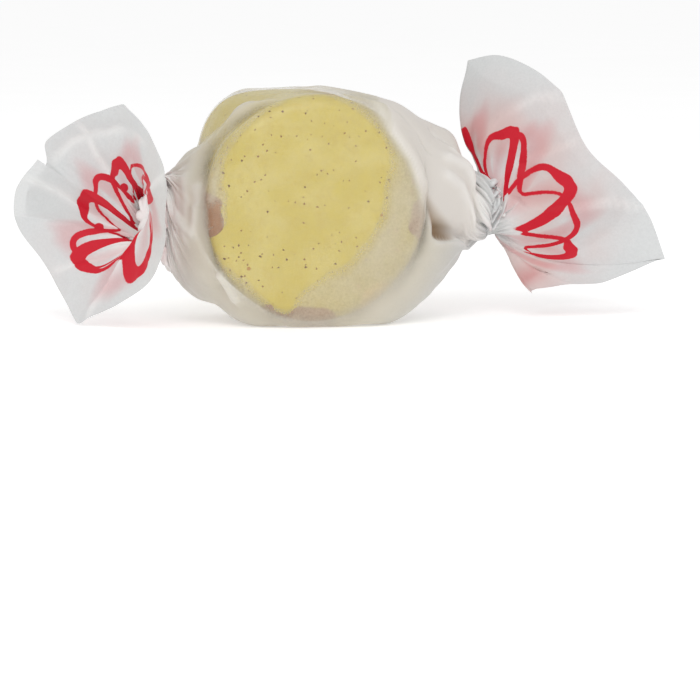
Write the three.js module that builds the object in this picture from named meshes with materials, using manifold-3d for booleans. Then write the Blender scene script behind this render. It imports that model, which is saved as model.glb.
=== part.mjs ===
// A wrapped piece of taffy: a short striped log of taffy inside one sheet of waxed paper. The sheet is
// rolled once round the log with its edges overlapping at the back, pinched to a twist at each end and
// flared into two fans. Millimetres, +Z up. +X runs along the roll, from the left fan to the right one, and
// the log's axis lies along Y, with its front cut face towards -Y. The origin is on the flat base, under
// the middle of the log.
import * as THREE from "three";
import { mergeVertices } from "three/addons/utils/BufferGeometryUtils.js";
import Module from "manifold-3d";

// ---- Driving dimensions ----------------------------------------------------------------------------

const LOG = {
  radius: 11.8,
  length: 18,
  edge: 2.2, // rounding between a cut face and the side
  axisHeight: 13.7,
  sag: 0.9, // how much further the soft underside reaches than the rest
  squash: 0.35, // how much the outline is flattened on its narrow sides
  squashAngle: 25, // degrees from +X towards +Z
};

// Strips of darker taffy let into the log's side. Angles are in degrees from +X towards +Z.
const STRIPE_DEPTH = 1.7;
const STRIPES = [
  { name: "stripe_left", angle: 183, halfWidth: 12, shade: "brown" },
  { name: "stripe_bottom", angle: 257, halfWidth: 15, shade: "brown" },
  { name: "stripe_right", angle: 349, halfWidth: 13, shade: "brown" },
  { name: "stripe_lower_right", angle: 303, halfWidth: 11, shade: "amber" },
  { name: "stripe_top", angle: 72, halfWidth: 14, shade: "amber" },
];

const GAP = 0.3; // clearance between neighbouring pieces

const PAPER = {
  thickness: 0.45,
  overlap: 0.11, // of a turn, the lap at the back
  climb: 0.07, // of a turn, in which the sheet climbs onto its own first edge
  seamAngle: 88, // degrees from +Z towards +Y: where the first edge lies
  pressed: 14, // exponent of the boxy section where the sheet is pressed onto the log
  rounding: 0.8, // of the bend where the sheet leaves the log
  pleats: 8, // gathers round each twist
  pleatHeight: 0.45,
  spiral: 0.9, // radians that the gathers lean round each twist
  twistShare: 0.22, // of the roll's length at each end, in which the sheet leans and gathers
  fanPleats: 0.75, // of a fan's length, over which the gathers die out
  thinning: 0.65, // share of its thickness that the sheet gives up in the bends of a twist
  thinningReach: 0.1, // of the roll's length on each side of a twist
};

// The roll's outline between the twists, at stations along X. Top and bottom are heights, half is half the
// depth along Y, and square is the section's exponent, 2 for an ellipse and more for a boxy one.
const STATIONS = [
  { x: -16.0, top: 15.9, bottom: 8.2, half: 3.8, square: 2.0 },
  { x: -14.6, top: 17.3, bottom: 6.0, half: 5.4, square: 2.1 },
  { x: -12.6, top: 19.5, bottom: 4.1, half: 7.3, square: 2.4 },
  { x: -10.3, top: 22.3, bottom: 2.3, half: 8.7, square: 3.0 },
  { x: -7.8, top: 24.6, bottom: 0.7, half: 9.2, square: 5.0 },
  { x: -4.0, top: 25.6, bottom: 0.2, half: 9.3, square: 9.0 },
  { x: 1.0, top: 25.8, bottom: 0.2, half: 9.3, square: 9.0 },
  { x: 6.0, top: 25.2, bottom: 0.2, half: 9.3, square: 9.0 },
  { x: 9.6, top: 24.2, bottom: 0.7, half: 9.1, square: 4.5 },
  { x: 12.4, top: 23.2, bottom: 2.3, half: 8.4, square: 3.0 },
  { x: 14.9, top: 22.2, bottom: 4.6, half: 7.1, square: 2.5 },
  { x: 17.2, top: 20.9, bottom: 7.0, half: 5.6, square: 2.2 },
  { x: 18.7, top: 18.2, bottom: 8.8, half: 4.1, square: 2.0 },
  { x: 19.7, top: 16.0, bottom: 9.6, half: 3.0, square: 2.0 },
];

// The fold that stands off the log at the back, on the upper left: its station, its angle in degrees from
// +Z towards +Y, how far it stands off, and how widely it spreads along X and round the roll.
const CORNER = { x: -7.6, angle: 37, reach: 1.3, alongX: 3, around: 15 };

// Each fan flares from its twist, through a throat, to the sheet's edge. The throat is a ring about a
// centre, tilted to move its top to the left by tilt. The edge is a loop through a few points, which start
// at the seam behind and go down, round the front and over the top.
const FANS = {
  left: {
    throat: [-20.4, -3.2, 12.1],
    throatRadius: 1.7,
    tilt: 0,
    edge: [
      [-30.4, 2.6, 18.3],
      [-33.6, 3.4, 14.7],
      [-33.4, 3.4, 10.9],
      [-30.3, 1.0, 7.1],
      [-28.2, -1.0, 3.6],
      [-26.4, -3.0, 1.3],
      [-22.8, -7.0, 2.7],
      [-19.2, -11.0, 5.9],
      [-17.9, -12.8, 9.5],
      [-17.5, -13.2, 13.3],
      [-17.5, -12.4, 17.3],
      [-18.9, -9.4, 21.5],
      [-21.7, -6.0, 25.0],
      [-24.4, -3.8, 24.5],
      [-27.3, -1.0, 22.9],
      [-30.0, 1.4, 20.5],
    ],
  },
  right: {
    throat: [22.3, 0.8, 13.7],
    throatRadius: 2.2,
    tilt: 1.6,
    edge: [
      [38.2, 5.0, 13.1],
      [37.2, 6.2, 9.1],
      [31.6, 6.8, 5.9],
      [26.8, 3.4, 3.7],
      [26.0, -3.4, 3.1],
      [33.0, -3.6, 4.2],
      [40.7, -1.2, 6.9],
      [39.2, -2.8, 11.9],
      [35.6, -4.2, 15.7],
      [31.6, -4.2, 19.5],
      [29.3, -3.2, 24.9],
      [27.2, -1.2, 27.5],
      [22.9, 2.8, 30.1],
      [19.4, 6.4, 29.1],
      [22.6, 8.8, 27.1],
      [27.6, 8.0, 25.1],
      [31.9, 6.2, 19.3],
    ],
  },
};

// The tightest place of the right twist, where the gathers are drawn into a knot.
const KNOT = { centre: [19.7, 0, 12.8], reach: [1.1, 4, 4.2] };

// The rows between which the gathered paper fills each twist, as for paperPoint below.
const TWIST_ROWS = { left: [-0.25, 0.05], right: [0.9, 1.3] };

// Facets: columns in one turn of the sheet, rows along the roll and along a fan, and sides of the log.
const COLUMNS = 48;
const BODY_ROWS = 24;
const FAN_ROWS = 7;
const FAN_CROWDING = 1.2; // above 1, rows crowd towards the twist
const LOG_FACETS = 48;
const MERGE_DISTANCE = 1e-4;

// ---- Small helpers ---------------------------------------------------------------------------------

const wasm = await Module();
wasm.setup();

const radians = THREE.MathUtils.degToRad;
const { lerp, smoothstep } = THREE.MathUtils;

// A closed three.js geometry as a solid that can be cut and joined.
function toSolid(geometry) {
  const bare = geometry.clone();
  bare.deleteAttribute("normal");
  bare.deleteAttribute("uv");
  const merged = mergeVertices(bare, MERGE_DISTANCE);
  return new wasm.Manifold(
    new wasm.Mesh({
      numProp: 3,
      vertProperties: new Float32Array(merged.attributes.position.array),
      triVerts: new Uint32Array(merged.index.array),
    }),
  );
}

function toGeometry(solid) {
  const mesh = solid.getMesh();
  const geometry = new THREE.BufferGeometry();
  geometry.setAttribute("position", new THREE.BufferAttribute(mesh.vertProperties, 3));
  geometry.setIndex(new THREE.BufferAttribute(mesh.triVerts, 1));
  geometry.computeVertexNormals();
  return geometry;
}

// A closed geometry from points and triangles.
function fromFaces(points, faces) {
  const geometry = new THREE.BufferGeometry().setFromPoints(points);
  geometry.setIndex(faces.flat());
  return geometry;
}

// A smooth curve through one property of a list's entries. Position counts the entries.
function through(list, position, property) {
  const last = list.length - 1;
  const i = Math.min(Math.floor(position), last - 1);
  const f = position - i;
  const [a, b, c, d] = [i - 1, i, i + 1, i + 2].map((k) => list[Math.min(Math.max(k, 0), last)][property]);
  return b + 0.5 * f * (c - a + f * (2 * a - 5 * b + 4 * c - d + f * (3 * (b - c) + d - a)));
}

// ---- The taffy log ---------------------------------------------------------------------------------

// The log's profile, from the middle of one cut face over its side to the middle of the other.
function logProfile() {
  const { radius, length, edge } = LOG;
  const half = length / 2;
  const edgeFacets = 5;
  const points = [new THREE.Vector2(0, -half), new THREE.Vector2(radius / 2, -half)];
  for (let i = 0; i <= edgeFacets; i++) {
    const a = (i / edgeFacets) * (Math.PI / 2);
    points.push(new THREE.Vector2(radius - edge + edge * Math.sin(a), -half + edge - edge * Math.cos(a)));
  }
  const mirrored = points.map((p) => new THREE.Vector2(p.x, -p.y)).reverse();
  return [...points, ...mirrored];
}

// The log lies along Y. Its round outline is squashed a little, as soft taffy is.
function logSolid() {
  const geometry = new THREE.LatheGeometry(logProfile(), LOG_FACETS);
  const position = geometry.attributes.position;
  for (let i = 0; i < position.count; i++) {
    const x = position.getX(i);
    const z = position.getZ(i);
    const turn = Math.atan2(z, x) - radians(LOG.squashAngle);
    const scale = 1 - (LOG.squash / LOG.radius) * Math.sin(turn) ** 2;
    const stretch = z < 0 ? 1 + LOG.sag / LOG.radius : 1;
    position.setXYZ(i, x * scale, position.getY(i), z * scale * stretch);
  }
  geometry.translate(0, 0, LOG.axisHeight);
  return toSolid(geometry);
}

// The space of one stripe: a sector of a ring, run through the whole log. Margin widens it all round.
function stripeSector(stripe, margin) {
  const clear = 2; // past the log, so that the cut goes right through
  const outer = LOG.radius + clear;
  const inner = LOG.radius - STRIPE_DEPTH - margin;
  const half = radians(stripe.halfWidth) + margin / LOG.radius;
  const shape = new THREE.Shape();
  shape.absarc(0, 0, outer, -half, half, false);
  shape.absarc(0, 0, inner, half, -half, true);
  const run = LOG.length + 2 * clear;
  const geometry = new THREE.ExtrudeGeometry(shape, { depth: run, bevelEnabled: false, curveSegments: 6 });
  geometry.translate(0, 0, -run / 2);
  geometry.rotateZ(radians(stripe.angle));
  geometry.rotateX(Math.PI / 2); // the extrusion now runs along Y, and angles open from +X towards +Z
  geometry.translate(0, 0, LOG.axisHeight);
  return toSolid(geometry);
}

// ---- The paper -------------------------------------------------------------------------------------

// Distance from the roll's axis to a rounded box. Angle is from +Z towards +Y.
function boxDistance(angle, half, up, down, square) {
  const s = Math.abs(Math.sin(angle)) / half;
  const c = Math.abs(Math.cos(angle)) / (Math.cos(angle) > 0 ? up : down);
  return (s ** square + c ** square) ** (-1 / square);
}

// How far the log reaches from the roll's axis at station x, with the clearance added.
function logReach(angle, x, axis) {
  if (Math.abs(x) >= LOG.radius) return 0;
  const rise = Math.sqrt(LOG.radius ** 2 - x ** 2);
  const up = LOG.axisHeight + rise - axis;
  const down = axis - (LOG.axisHeight - rise * (1 + LOG.sag / LOG.radius));
  if (Math.min(up, down) <= GAP) return 0;
  return boxDistance(angle, LOG.length / 2, up, down, PAPER.pressed) + GAP;
}

// The larger of two lengths, with the change from one to the other rounded off.
function blendedMax(a, b) {
  return (a + b + Math.hypot(a - b, PAPER.rounding)) / 2;
}

// How far the corner fold lifts the sheet.
function cornerFold(angle, x) {
  const away = angle - radians(CORNER.angle);
  const turn = Math.atan2(Math.sin(away), Math.cos(away));
  const spread = ((x - CORNER.x) / CORNER.alongX) ** 2 + (turn / radians(CORNER.around)) ** 2;
  return CORNER.reach * Math.exp(-spread);
}

// The inside of the paper between the twists. Along runs from 0 at the left twist to 1 at the right one.
function rollPoint(angle, along) {
  const position = along * (STATIONS.length - 1);
  const [x, top, bottom, half, square] = ["x", "top", "bottom", "half", "square"].map((property) =>
    through(STATIONS, position, property),
  );
  const axis = (top + bottom) / 2;
  const lofted = boxDistance(angle, half, top - axis, axis - bottom, square);
  const reach = logReach(angle, x, axis);
  const distance = blendedMax(lofted, reach) + cornerFold(angle, x);
  return new THREE.Vector3(x, distance * Math.sin(angle), axis + distance * Math.cos(angle));
}

// Angles that space the sheet's columns evenly along the paper where it goes round the middle of the log.
const EVEN_ANGLES = (() => {
  const steps = 720;
  const middle = 0.5; // of the way along the roll
  const lengths = [0];
  let previous = rollPoint(radians(PAPER.seamAngle), middle);
  for (let i = 1; i <= steps; i++) {
    const next = rollPoint(radians(PAPER.seamAngle) + (i / steps) * 2 * Math.PI, middle);
    lengths.push(lengths[i - 1] + next.distanceTo(previous));
    previous = next;
  }
  const angles = [];
  for (let column = 0, i = 0; column < COLUMNS; column++) {
    const wanted = (column / COLUMNS) * lengths[steps];
    while (lengths[i + 1] < wanted) i++;
    const f = (wanted - lengths[i]) / (lengths[i + 1] - lengths[i]);
    angles.push(radians(PAPER.seamAngle) + ((i + f) / steps) * 2 * Math.PI);
  }
  return angles;
})();

// Angle of a point that is turn turns round the sheet, which may be past one whole turn or before none.
function angleAt(turn) {
  const whole = Math.floor(turn);
  const position = (turn - whole) * COLUMNS;
  const i = Math.floor(position);
  const from = EVEN_ANGLES[i];
  const to = i + 1 < COLUMNS ? EVEN_ANGLES[i + 1] : EVEN_ANGLES[0] + 2 * Math.PI;
  return lerp(from, to, position - i) + whole * 2 * Math.PI;
}

// The edge of a fan as a closed curve.
const fanEdges = {};
for (const side of ["left", "right"]) {
  const points = FANS[side].edge.map((p) => new THREE.Vector3(...p));
  fanEdges[side] = new THREE.CatmullRomCurve3(points, true, "centripetal");
}

// The paper in a fan. Out runs from 0 at the twist to 1 at the sheet's edge.
function fanPoint(side, turn, out) {
  const { throat, throatRadius, tilt } = FANS[side];
  const start = rollPoint(angleAt(turn) + leanAt(side, 0), side === "left" ? 0 : 1);
  const angle = angleAt(turn) + leanAt(side, 0);
  const middle = new THREE.Vector3(
    throat[0] - tilt * Math.cos(angle),
    throat[1] + throatRadius * Math.sin(angle),
    throat[2] + throatRadius * Math.cos(angle),
  );
  const end = fanEdges[side].getPoint(((turn % 1) + 1) % 1);
  return new THREE.QuadraticBezierCurve3(start, middle, end).getPoint(out);
}

// Radians that the sheet has turned round the roll, out is the share of the way from a twist to the log.
function leanAt(side, out) {
  const share = Math.max(0, 1 - out) ** 2;
  return (side === "left" ? -1 : 1) * PAPER.spiral * share;
}

// Row is from -1 at the left edge, through 0 and 1 at the twists, to 2 at the right edge.
function paperPoint(turn, row) {
  if (row < 0) return fanPoint("left", turn, -row);
  if (row > 1) return fanPoint("right", turn, row - 1);
  const side = row < 0.5 ? "left" : "right";
  const out = Math.min(row, 1 - row) / PAPER.twistShare;
  return rollPoint(angleAt(turn) + leanAt(side, out), row);
}

// Outward normal of the smooth sheet, from its neighbours.
function paperNormal(turn, row) {
  const d = 1e-3;
  const around = paperPoint(turn + d, row).sub(paperPoint(turn - d, row));
  const rowBefore = Math.max(row - d, -1);
  const rowAfter = Math.min(row + d, 2);
  const along = paperPoint(turn, rowAfter).sub(paperPoint(turn, rowBefore));
  return along.cross(around).normalize();
}

// Height of the gathers, which are deepest at the twists and die out over the log and along the fans.
function pleatHeight(row) {
  const intoRoll = Math.min(row, 1 - row);
  const away = intoRoll > 0 ? intoRoll / PAPER.twistShare : -intoRoll / PAPER.fanPleats;
  return PAPER.pleatHeight * Math.max(0, 1 - away);
}

function pleat(turn, row) {
  return pleatHeight(row) * Math.cos(2 * Math.PI * PAPER.pleats * turn);
}

// The sheet is drawn thinner in the tight bends of a twist, where it lies on the gathered paper inside.
function thicknessAt(row) {
  const fromTwist = Math.min(Math.abs(row), Math.abs(row - 1));
  const nearness = Math.exp(-((fromTwist / PAPER.thinningReach) ** 2));
  return PAPER.thickness * (1 - PAPER.thinning * nearness);
}

// How far the sheet has climbed onto its own first layer.
function climb(turn) {
  return (PAPER.thickness + GAP) * smoothstep(turn, 1 - PAPER.climb, 1);
}

// Point of the folded sheet at a depth within its thickness, from 0 inside to 1 outside. The base is flat.
function sheetPoint(turn, row, depth) {
  const thickness = thicknessAt(row);
  const lift = pleat(turn, row) + climb(turn) + depth * thickness;
  const point = paperPoint(turn, row).addScaledVector(paperNormal(turn, row), lift);
  point.z = Math.max(point.z, (1 - depth) * thickness);
  return point;
}

// Whether a facet of the sheet is folded along the diagonal from its first corner, rather than across it.
// The diagonal that passes closer to the middle of the smooth sheet is taken.
function foldsForward(column, row, nextRow) {
  const at = (shift, place) => sheetPoint((column + shift) / COLUMNS, place, 0.5);
  const middle = at(0.5, (row + nextRow) / 2);
  const forward = at(0, row).add(at(1, nextRow)).divideScalar(2).distanceTo(middle);
  const backward = at(1, row).add(at(0, nextRow)).divideScalar(2).distanceTo(middle);
  return forward <= backward;
}

// Two triangles over the corners a, b, c and d, folded from a to c or from b to d.
function facet(a, b, c, d, forward) {
  return forward ? [[a, b, c], [a, c, d]] : [[a, b, d], [b, c, d]];
}

// The rows of the sheet, closer together near the twists.
function paperRows() {
  const rows = [];
  for (let i = FAN_ROWS; i > 0; i--) rows.push(-((i / FAN_ROWS) ** FAN_CROWDING));
  for (let i = 0; i <= BODY_ROWS; i++) rows.push(i / BODY_ROWS);
  for (let i = 1; i <= FAN_ROWS; i++) rows.push(1 + (i / FAN_ROWS) ** FAN_CROWDING);
  return rows;
}

// The rolled sheet as a thin closed solid, open where its outer edge laps over the inner one.
function sheetSolid() {
  const rows = paperRows();
  const columns = Math.round(COLUMNS * (1 + PAPER.overlap));
  const points = [];
  for (const depth of [0, 1])
    for (const row of rows)
      for (let j = 0; j <= columns; j++) points.push(sheetPoint(j / COLUMNS, row, depth));
  const width = columns + 1;
  const layer = width * rows.length;
  const at = (depth, i, j) => depth * layer + i * width + j;
  const faces = [];
  const quad = (a, b, c, d, forward = true) => faces.push(...facet(a, b, c, d, forward));
  for (let i = 0; i + 1 < rows.length; i++) {
    for (let j = 0; j < columns; j++) {
      const forward = foldsForward(j, rows[i], rows[i + 1]);
      quad(at(1, i, j), at(1, i + 1, j), at(1, i + 1, j + 1), at(1, i, j + 1), forward);
      quad(at(0, i, j), at(0, i, j + 1), at(0, i + 1, j + 1), at(0, i + 1, j), forward);
    }
    quad(at(0, i, 0), at(0, i + 1, 0), at(1, i + 1, 0), at(1, i, 0));
    quad(at(0, i, columns), at(1, i, columns), at(1, i + 1, columns), at(0, i + 1, columns));
  }
  const end = rows.length - 1;
  for (let j = 0; j < columns; j++) {
    quad(at(0, 0, j), at(1, 0, j), at(1, 0, j + 1), at(0, 0, j + 1));
    quad(at(0, end, j), at(0, end, j + 1), at(1, end, j + 1), at(1, end, j));
  }
  return toSolid(fromFaces(points, faces));
}

// The gathered paper that fills a twist. Its surface runs inside the sheet's own wall.
function twistSolid([from, to]) {
  const rows = paperRows().filter((row) => row >= from && row <= to);
  const points = [];
  for (const row of rows)
    for (let column = 0; column < COLUMNS; column++) {
      const turn = column / COLUMNS;
      const lift = pleat(turn, row) + thicknessAt(row) / 2;
      points.push(paperPoint(turn, row).addScaledVector(paperNormal(turn, row), lift));
    }
  const faces = [];
  for (let i = 0; i + 1 < rows.length; i++)
    for (let j = 0; j < COLUMNS; j++) {
      const k = (j + 1) % COLUMNS;
      const [here, next] = [i * COLUMNS, (i + 1) * COLUMNS];
      faces.push(...facet(here + j, next + j, next + k, here + k, foldsForward(j, rows[i], rows[i + 1])));
    }
  for (const [i, order] of [
    [0, 1],
    [rows.length - 1, -1],
  ]) {
    const middle = points.length;
    const ring = points.slice(i * COLUMNS, (i + 1) * COLUMNS);
    points.push(ring.reduce((sum, p) => sum.add(p), new THREE.Vector3()).divideScalar(COLUMNS));
    for (let j = 0; j < COLUMNS; j++) {
      const pair = [i * COLUMNS + j, i * COLUMNS + ((j + 1) % COLUMNS)];
      faces.push(order > 0 ? [middle, pair[0], pair[1]] : [middle, pair[1], pair[0]]);
    }
  }
  return toSolid(fromFaces(points, faces));
}

function knotSolid() {
  const [around, down] = [20, 12];
  const geometry = new THREE.SphereGeometry(1, around, down);
  geometry.scale(...KNOT.reach);
  geometry.translate(...KNOT.centre);
  return toSolid(geometry);
}

function wrapperSolid() {
  const pieces = [twistSolid(TWIST_ROWS.left), twistSolid(TWIST_ROWS.right), knotSolid()];
  return pieces.reduce((joined, piece) => joined.add(piece), sheetSolid());
}

// ---- The part --------------------------------------------------------------------------------------

const materials = {
  core: new THREE.MeshStandardMaterial({ color: 0xd8c47c, roughness: 0.55, metalness: 0 }),
  brown: new THREE.MeshStandardMaterial({ color: 0xa9683f, roughness: 0.5, metalness: 0 }),
  amber: new THREE.MeshStandardMaterial({ color: 0xd9ab62, roughness: 0.5, metalness: 0 }),
  paper: new THREE.MeshStandardMaterial({ color: 0xefeeea, roughness: 0.45, metalness: 0 }),
};

function named(name, solid, material) {
  const mesh = new THREE.Mesh(toGeometry(solid), material);
  mesh.name = name;
  return mesh;
}

const wrappedTaffy = new THREE.Group();
const log = logSolid();
let core = log;
for (const stripe of STRIPES) {
  core = core.subtract(stripeSector(stripe, GAP / 2));
  const strip = log.intersect(stripeSector(stripe, -GAP / 2));
  wrappedTaffy.add(named(stripe.name, strip, materials[stripe.shade]));
}
wrappedTaffy.add(named("taffy_core", core, materials.core));
wrappedTaffy.add(named("wrapper", wrapperSolid(), materials.paper));

export default wrappedTaffy;
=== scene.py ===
"""A wrapped taffy: a striped log of taffy in one sheet of waxed paper, twisted into a fan at each end.

Shapes are worked out in millimetres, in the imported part's frame, and scaled to metres when a mesh is made.
"""
import math

import bpy
import numpy as np
from mathutils import Matrix, Vector


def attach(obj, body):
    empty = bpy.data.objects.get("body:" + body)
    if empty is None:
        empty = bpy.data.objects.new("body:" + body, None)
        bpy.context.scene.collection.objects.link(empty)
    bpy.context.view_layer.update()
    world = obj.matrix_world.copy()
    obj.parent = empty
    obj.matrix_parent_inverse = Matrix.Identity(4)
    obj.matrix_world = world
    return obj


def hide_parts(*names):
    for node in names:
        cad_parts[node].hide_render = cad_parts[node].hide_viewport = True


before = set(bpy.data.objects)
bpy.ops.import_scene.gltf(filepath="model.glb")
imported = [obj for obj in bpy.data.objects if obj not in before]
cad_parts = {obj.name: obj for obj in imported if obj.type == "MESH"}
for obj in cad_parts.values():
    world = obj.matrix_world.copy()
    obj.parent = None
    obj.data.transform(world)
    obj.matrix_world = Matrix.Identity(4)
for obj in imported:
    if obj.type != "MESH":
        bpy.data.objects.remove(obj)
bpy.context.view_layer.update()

MM = 0.001
SEED = 11

# ---- Sizes, in millimetres ----

LOG_RADIUS = 12.4
LOG_HALF_LENGTH = 9.3
LOG_EDGE = 1.7  # rounding between a cut face and the side
LOG_AXIS = 13.7  # height of the log's axis
LOG_SAG = 0.9  # how much further the soft underside reaches
LOG_SQUASH = 0.35  # how much less the log reaches at right angles to the angle below
LOG_SQUASH_ANGLE = math.radians(25)
# A bulge at the log's top left, and the places along the log between which it grows towards the back.
SHOULDER = dict(angle=math.radians(130), around=math.radians(23), reach=1.9, grows=(-6.0, 8.0))
TAFFY_LUMPS = ((3.5, 0.07), (1.3, 0.03))  # size and height
CORE_AROUND = 168  # points round the log

# Strips of other taffy in the log's side: the node, its middle and half width in degrees from +X towards +Z,
# how far in it shows on a cut face, as a share of its depth, where yellow taffy is smeared over it, as a
# share of its half width, and its material slot.
STRIPES = (
    ("stripe_left", 184, 12, 1.2, None, "taffy_brown"),
    ("stripe_bottom", 261, 20, 1.1, -0.5, "taffy_brown"),
    ("stripe_right", 352, 12, 1.2, None, "taffy_brown"),
    ("stripe_lower_right", 303, 11, 1.1, None, "taffy_amber"),
    ("stripe_top", 72, 14, 0.1, None, "taffy_amber"),
)
STRIPE_DEPTH = 1.7
STRIPE_HALF_LENGTH = 8.6  # of its inner side
STRIPE_PROUD = 0.05  # how far a strip stands out of the log
STRIPE_TUCK = 0.35  # how far it dips back in beyond its edge
STRIPE_END_TUCK = 0.3  # how much further its ends dip
STRIPE_PAST = 0.9  # how far past its depth it runs on across a cut face
STRIPE_FADE = 0.15  # over which it dips, as a share of its depth
STRIPE_WANDER = dict(size=5.0, share=0.07, degrees=1.1)  # how its sides wander
STRIPE_ACROSS = 41  # points across it
SMEAR_WIDTH = 0.24  # of the half width

PAPER_LIFT = 0.4  # from the roll's named outline to the paper
PAPER_OVERLAP = 0.11  # of a turn
PAPER_CLIMB = 0.07  # of a turn, over which the lap climbs on to the layer under it
PAPER_LAP_GAP = 0.14  # between the lap's two layers
PAPER_CLEARANCE = 0.06  # between the paper and the taffy it touches
FLOOR_GAP = 0.05  # between the floor and the smooth sheet
FLOOR_GAP_PRESSED = 0.03  # and once it is pressed
PAPER_WIDTH_ROUND = 86.0  # length of one turn of the flat sheet
SEAM_ANGLE = math.radians(88)
LAP_STEP = 0.05  # how much shorter the lap's outer layer is in each fan
LAP_STEP_TURNS = (0.93, 1.02)
# The space that the roll keeps for the log: its radius, half depth and squareness, the room round it, and how
# softly it meets the roll's own outline.
INSIDE = dict(radius=11.8, half=9.0, square=14, room=0.3, blend=0.8)
# A raised corner of the roll, at an angle from +Z towards +Y.
CORNER = dict(x=-7.6, angle=math.radians(37), reach=1.3, along=3.0, around=math.radians(15))
TWIST_SHARE = 0.22  # of the roll's row values, at each end, over which it is twisted
SPIRAL = 1.5  # radians that the sheet has turned at each twist
THROAT_LEAN = 0.25  # the share of it that is left where the fan opens

# The roll's outline between its twists: station, top, bottom, half depth and the section's squareness.
STATIONS = np.array(
    [
        (-16.2, 15.9, 7.8, 3.8, 2.0),
        (-14.9, 17.2, 5.3, 5.4, 2.1),
        (-12.8, 19.5, 3.4, 7.3, 2.4),
        (-10.3, 22.3, 2.3, 8.7, 3.0),
        (-7.8, 24.6, 0.7, 9.2, 5.0),
        (-4.0, 25.6, 0.2, 9.3, 9.0),
        (1.0, 25.8, 0.2, 9.3, 9.0),
        (6.0, 25.2, 0.2, 9.3, 9.0),
        (9.6, 24.2, 0.7, 9.1, 4.5),
        (12.4, 22.7, 2.3, 8.4, 3.0),
        (14.9, 21.6, 4.6, 7.1, 2.5),
        (16.6, 20.6, 6.3, 5.9, 2.2),
        (18.2, 17.0, 8.2, 4.4, 2.0),
        (20.8, 15.9, 9.7, 3.2, 2.0),
    ]
)

# Each fan: the centre and radius of its throat, the collar that the sheet heads for past the throat where it
# folds back, and the loop of its edge from the seam behind, down, round the front and over the top, with the
# points of it that are sharp corners. A collar has its place along the roll at its sides, top and bottom, and
# its reach up, down and aside.
FANS = {
    "left": dict(
        throat=(-20.4, -3.2, 12.1),
        radius=1.7,
        collar=None,
        corners=(5, 12),
        edge=[
            (-30.4, 2.6, 18.3), (-32.9, 3.4, 14.7), (-32.8, 3.4, 11.1), (-30.1, 1.0, 7.1),
            (-28.2, -1.0, 3.6), (-26.5, -3.0, 0.3), (-22.8, -7.0, 2.7), (-19.2, -11.0, 5.9),
            (-17.9, -12.8, 9.5), (-17.5, -13.2, 13.3), (-17.3, -12.4, 17.6), (-19.0, -9.4, 21.4),
            (-21.5, -6.0, 24.7), (-24.2, -3.8, 23.7), (-27.1, -1.0, 22.2), (-29.6, 1.4, 20.2),
        ],
    ),
    "right": dict(
        throat=(23.9, 0.8, 13.0),
        radius=2.8,
        collar=dict(x=(23.5, 14.5, 24.5), up=4.4, down=9.4, aside=2.6),
        corners=(4, 6, 10, 13),
        edge=[
            (38.2, 5.0, 13.1), (37.2, 6.2, 9.1), (31.6, 6.8, 5.9), (26.8, 3.4, 3.7),
            (25.7, -3.4, 3.1), (33.2, -3.6, 3.7), (41.0, -3.4, 6.6), (39.0, -2.8, 11.9),
            (35.6, -4.2, 15.7), (31.6, -4.2, 19.5), (28.8, -3.2, 25.9), (26.3, -1.2, 28.1),
            (22.9, 2.8, 29.6), (20.0, 6.4, 29.0), (22.6, 8.8, 27.1), (27.6, 8.0, 25.1),
            (31.9, 6.2, 19.3),
        ],
    ),
}

# The bunched paper inside each twist: its ends and radius.
PLUGS = {
    "left": ((-13.4, -0.2, 11.9), (-18.6, -2.1, 12.0), 2.7),
    "right": ((17.6, 0.0, 12.8), (22.8, 0.6, 13.0), 2.8),
}
PLEATS = dict(count=7, slant=4.0, wander=2.4, depth=0.24)
PLUG_RINGS = 30
PLUG_AROUND = 84

# ---- Colours and finishes ----


def linear(red, green, blue):
    """The linear colour of 0 to 255 display values."""
    return tuple((c / 255) ** 2.2 for c in (red, green, blue)) + (1.0,)


YELLOW = linear(201, 183, 93)
YELLOW_LIGHT = linear(207, 191, 113)
YELLOW_DARK = linear(194, 172, 88)
STRIPE_TONES = {
    "taffy_brown": (linear(172, 133, 103), linear(160, 119, 89), linear(138, 97, 69)),
    "taffy_amber": (linear(228, 205, 135), linear(218, 188, 108), linear(200, 160, 80)),
}
# Specks: spacing, radius, share of the places that have one, and colour.
SPECKS = (
    (1.3, 0.17, 0.8, linear(112, 78, 46)),
    (0.85, 0.13, 0.9, linear(146, 108, 60)),
    (2.0, 0.26, 0.5, linear(178, 132, 72)),
)
SPECK_RAGGED = 0.3  # how far a speck's edge wanders
SPECK_CROWD = dict(size=5.0, fewest=0.45, most=1.35)  # their loose groups, and the factors on their number
PAPER_LIGHT = linear(215, 217, 217)
PAPER_DARK = linear(209, 211, 211)
PAPER_WARM_LIGHT = linear(233, 219, 187)  # painted warm light: near the taffy, for the light that the taffy colours inside the roll
PAPER_DOUBLED = linear(229, 224, 218)
# painted shade: dark olive-brown for the hollow beside the log's right edge
PAPER_POCKET_SHADE = linear(152, 120, 86)
PAPER_SHOW_THROUGH_PINK = linear(218, 182, 177)  # painted pink light round the print, for its colour showing through the layers
PAPER_BUNCHED_AND_LIT = linear(253, 252, 250)  # near white: where many layers are gathered, and painted light that lifts the shade in the twists' folds, on the lap and along creases
INK = linear(205, 28, 48)
# The print round the left and the right fan: waves of its two strokes, its middle and swing from the twist,
# how wide the fan is round (at its narrowest, and how fast it widens from where), and whether it has dots.
PRINT = (
    (5, 4, 8.4, 2.9, 22.0, 5.9, 8.5, True),
    (8, 6, 8.6, 2.9, 34.0, 6.9, 7.3, False),
)
PRINT_ENDS = (0.3, 0.38)  # the turns between which the right fan's print dies out, towards its underside
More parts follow.
